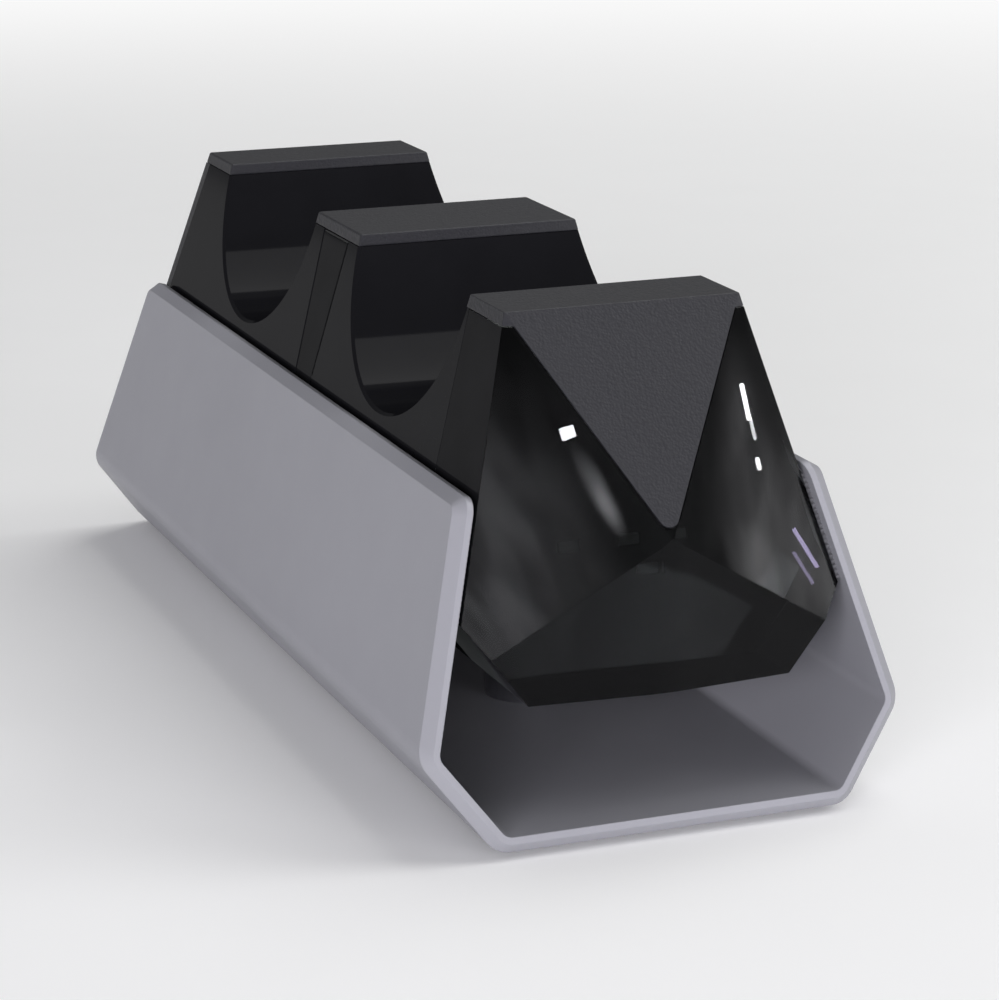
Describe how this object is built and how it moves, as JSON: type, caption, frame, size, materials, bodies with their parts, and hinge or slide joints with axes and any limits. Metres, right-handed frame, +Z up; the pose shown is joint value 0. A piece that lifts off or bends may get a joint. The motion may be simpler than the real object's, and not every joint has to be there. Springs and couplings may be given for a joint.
{
  "type": "game controller charging dock",
  "caption": "Free-standing charging dock: faceted clear-ended bar with round wells for game controllers, held in a folded bevelled aluminium cradle.",
  "frame": {"origin": "centre of the bounding box's underside, on the table under the middle of the dock", "axes": "+X across the dock to the right as seen from its front end, +Y along the dock from the front end with the slanting plate to the rear end with the inlet, +Z up"},
  "size_m": [0.0706, 0.1766, 0.0698],
  "materials": {
    "anodised_aluminium": "satin anodised",
    "foot_rubber": "matt",
    "cap_plastic": "fine grain",
    "smoked_clear": "polished, smoked",
    "black_gloss": "gloss",
    "black_matte": "matt",
    "side_pad": "fine grain",
    "spacer_aluminium": "turned",
    "screw_steel": "zinc plated",
    "insert_brass": "knurled",
    "board_green": "solder mask",
    "contact_gold": "gold plated",
    "component_black": "moulded",
    "cable_white": "satin",
    "light_diffuser": "translucent",
    "inlet_steel": "stamped"
  },
  "bodies": {
    "root": {"cradle": "anodised_aluminium", "feet": "foot_rubber", "front_cap": "cap_plastic", "middle_cap": "cap_plastic", "rear_cap": "cap_plastic", "front_block": "smoked_clear", "middle_block": "smoked_clear", "housing": "black_gloss", "rear_panel": "cap_plastic", "base_cover": "black_matte", "side_pad_left": "side_pad", "side_pad_right": "side_pad", "spacers": "spacer_aluminium", "mounting_screws": "screw_steel", "threaded_inserts": "insert_brass", "front_contact_seat": "black_matte", "rear_contact_seat": "black_matte", "front_contact_board": "board_green", "rear_contact_board": "board_green", "front_contact_springs": "contact_gold", "rear_contact_springs": "contact_gold", "charge_board": "board_green", "board_screws": "screw_steel", "board_components": "component_black", "flat_cable": "cable_white", "light_board": "board_green", "status_lights": "light_diffuser", "inlet_shell": "inlet_steel", "inlet_tongue": "black_matte"}
  },
  "joints": []
}
